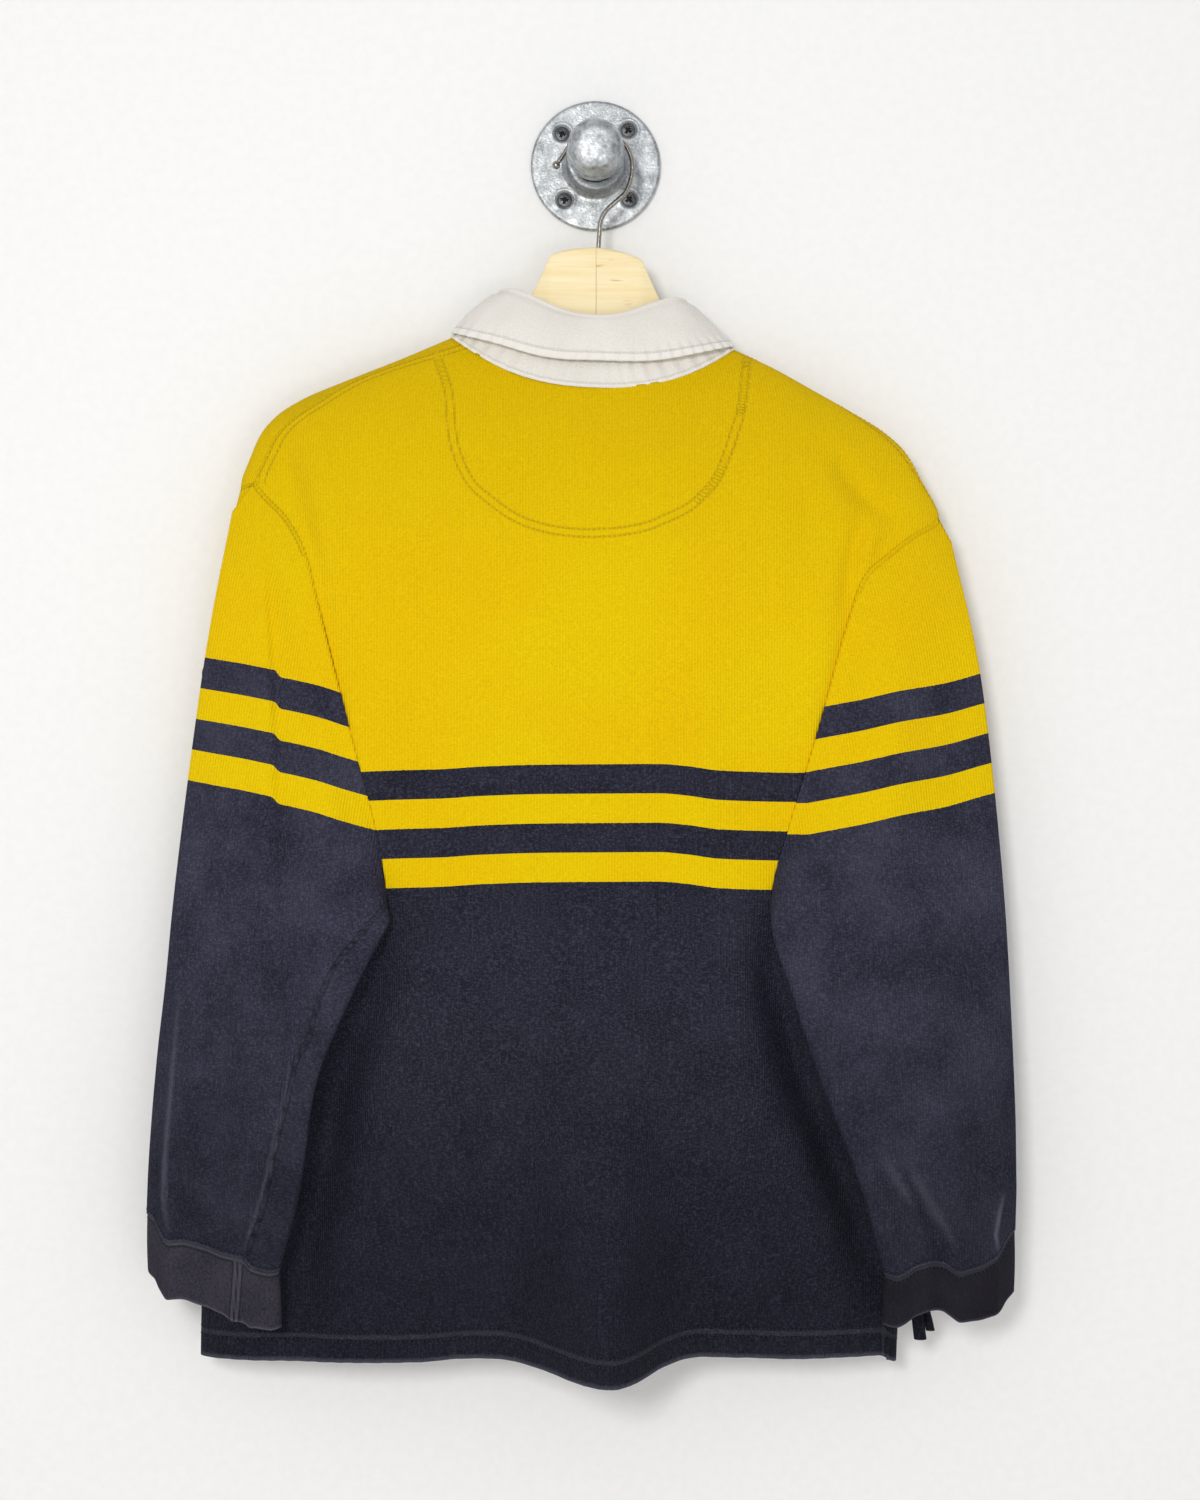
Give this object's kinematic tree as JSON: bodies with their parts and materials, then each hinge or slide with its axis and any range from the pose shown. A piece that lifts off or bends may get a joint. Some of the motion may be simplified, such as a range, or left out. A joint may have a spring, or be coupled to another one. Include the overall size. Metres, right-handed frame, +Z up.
{
  "type": "rugby shirt on a hanger and wall hook",
  "caption": "Long-sleeved striped rugby shirt with a twill collar, hung on a two-part wooden hanger whose wire hook rests on a capped pipe stub with a round wall flange.",
  "frame": {"origin": "centre of the wall flange's back face, on the wall plane", "axes": "+Z up, +Y into the wall, +X to the right as the shirt's back is seen"},
  "size_m": [0.5789, 0.117, 0.8545],
  "materials": {
    "jersey_body": "heavy cotton jersey",
    "jersey_sleeve": "heavy cotton jersey",
    "cuff_jersey": "double cotton jersey",
    "collar_twill": "cotton twill",
    "rubber_button": "matte",
    "pine": "clear lacquer",
    "steel_wire": "drawn",
    "galvanised_iron": "hot-dip galvanised",
    "screw_steel": "zinc plated"
  },
  "bodies": {
    "root": {"back_panel": "jersey_body", "front_panel": "jersey_body", "sleeve_left": "jersey_sleeve", "sleeve_right": "jersey_sleeve", "cuff_left": "cuff_jersey", "cuff_right": "cuff_jersey", "collar_stand": "collar_twill", "collar_leaf": "collar_twill", "placket_outer": "collar_twill", "placket_under": "collar_twill", "button_1": "rubber_button", "button_2": "rubber_button", "button_3": "rubber_button", "hanger_left": "pine", "hanger_right": "pine", "hanger_hook": "steel_wire", "wall_flange": "galvanised_iron", "pipe_nipple": "galvanised_iron", "pipe_cap": "galvanised_iron", "screw_1": "screw_steel", "screw_2": "screw_steel", "screw_3": "screw_steel", "screw_4": "screw_steel"}
  },
  "joints": []
}
